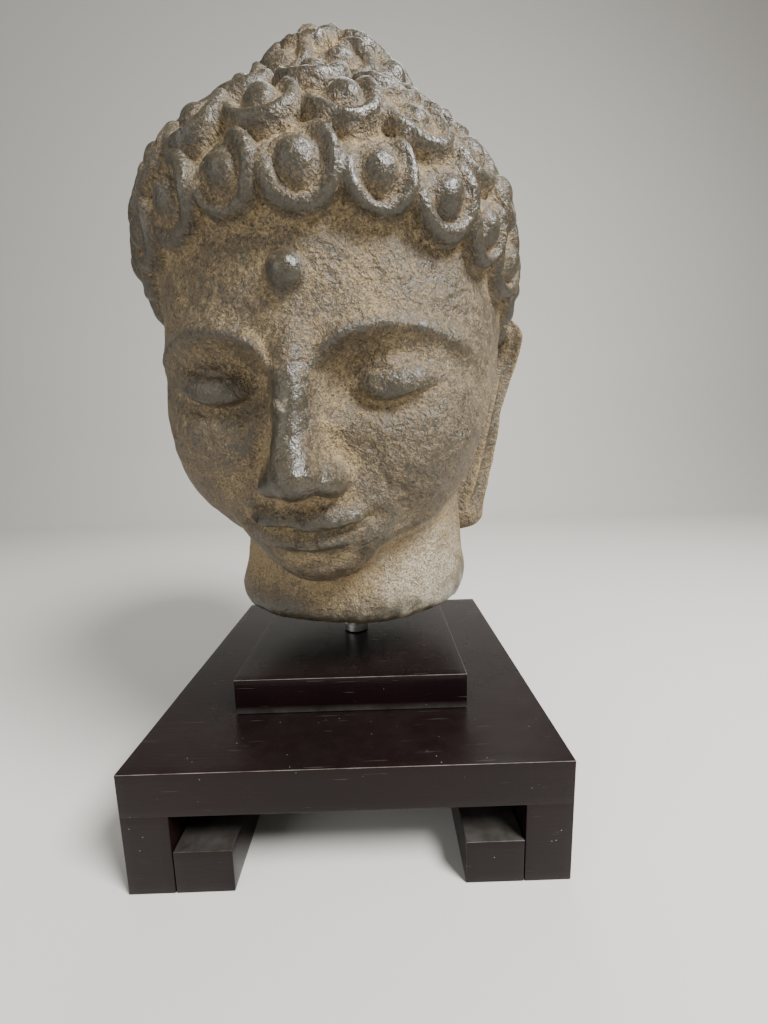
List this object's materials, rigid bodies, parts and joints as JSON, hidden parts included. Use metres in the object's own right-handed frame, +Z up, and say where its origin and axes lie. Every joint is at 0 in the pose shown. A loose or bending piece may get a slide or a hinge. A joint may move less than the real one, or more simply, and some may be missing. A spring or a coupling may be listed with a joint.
{
  "type": "stone buddha head on stand",
  "caption": "Carved dark stone Buddha head with snail-shell curls, on a steel rod over a small black wooden stand.",
  "frame": {"origin": "middle of the whole part's plan, on the plane that the stand's feet rest on", "axes": "+Z up; -Y is the front, which the stand's front edge and, within 6 degrees, the face look along; +X to the viewer's right"},
  "size_m": [0.1823, 0.1921, 0.3375],
  "materials": {
    "stone": "carved, worn to a dull sheen, earth in the hollows",
    "black_wood": "black satin lacquer, worn at the edges",
    "steel": "polished"
  },
  "bodies": {
    "root": {"buddha_head": "stone", "mounting_rod": "steel", "rod_collar": "steel", "plinth_block": "black_wood", "stand_top_board": "black_wood", "left_side_board": "black_wood", "right_side_board": "black_wood", "left_foot_bar": "black_wood", "right_foot_bar": "black_wood"}
  },
  "joints": []
}
